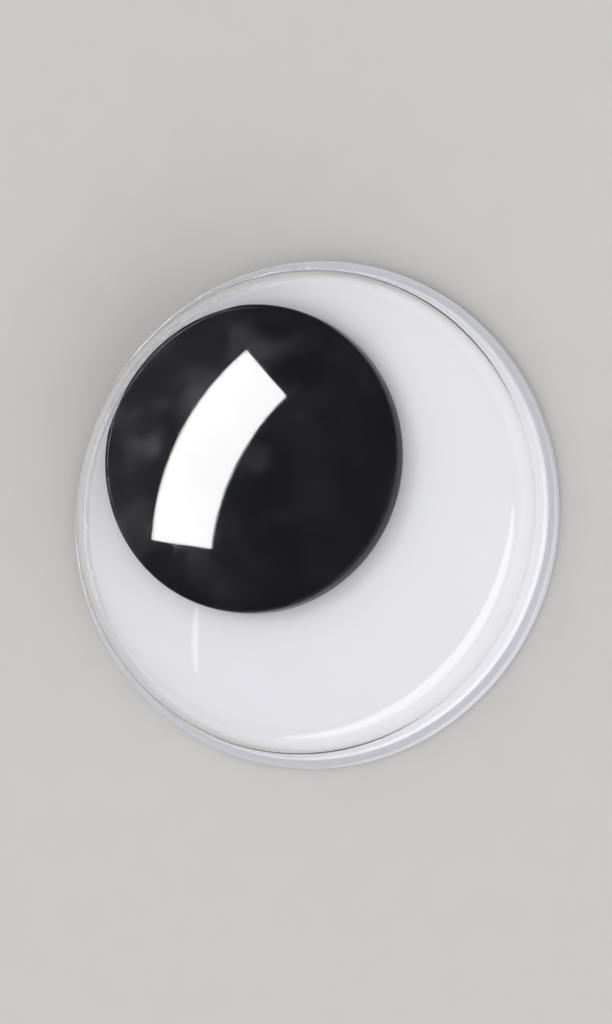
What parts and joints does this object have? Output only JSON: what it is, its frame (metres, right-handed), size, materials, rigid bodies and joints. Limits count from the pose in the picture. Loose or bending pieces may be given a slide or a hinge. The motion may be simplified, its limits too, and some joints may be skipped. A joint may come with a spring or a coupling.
{
  "type": "googly eye",
  "caption": "Round craft eye: a clear formed dome with a flat rim is sealed to a white disc back, and a loose black disc pupil slides round inside it.",
  "frame": {"origin": "centre of the white back's underside, the face that is glued down", "axes": "+Z out of the dome, the way the eye looks; +Y up in the eye's picture; +X to its right"},
  "size_m": [0.02, 0.02, 0.005],
  "materials": {
    "clear_sheet": "clear gloss",
    "white_plastic": "satin",
    "black_plastic": "satin"
  },
  "bodies": {
    "shell": {"clear_dome": "clear_sheet", "white_back": "white_plastic"},
    "loose_pupil": {"pupil": "black_plastic"}
  },
  "joints": [
    {"name": "pupil_orbit", "type": "hinge", "parent": "shell", "child": "loose_pupil", "pos_m": [0, 0, 0.00092], "axis": [0, 0, 1], "continuous": true}
  ]
}
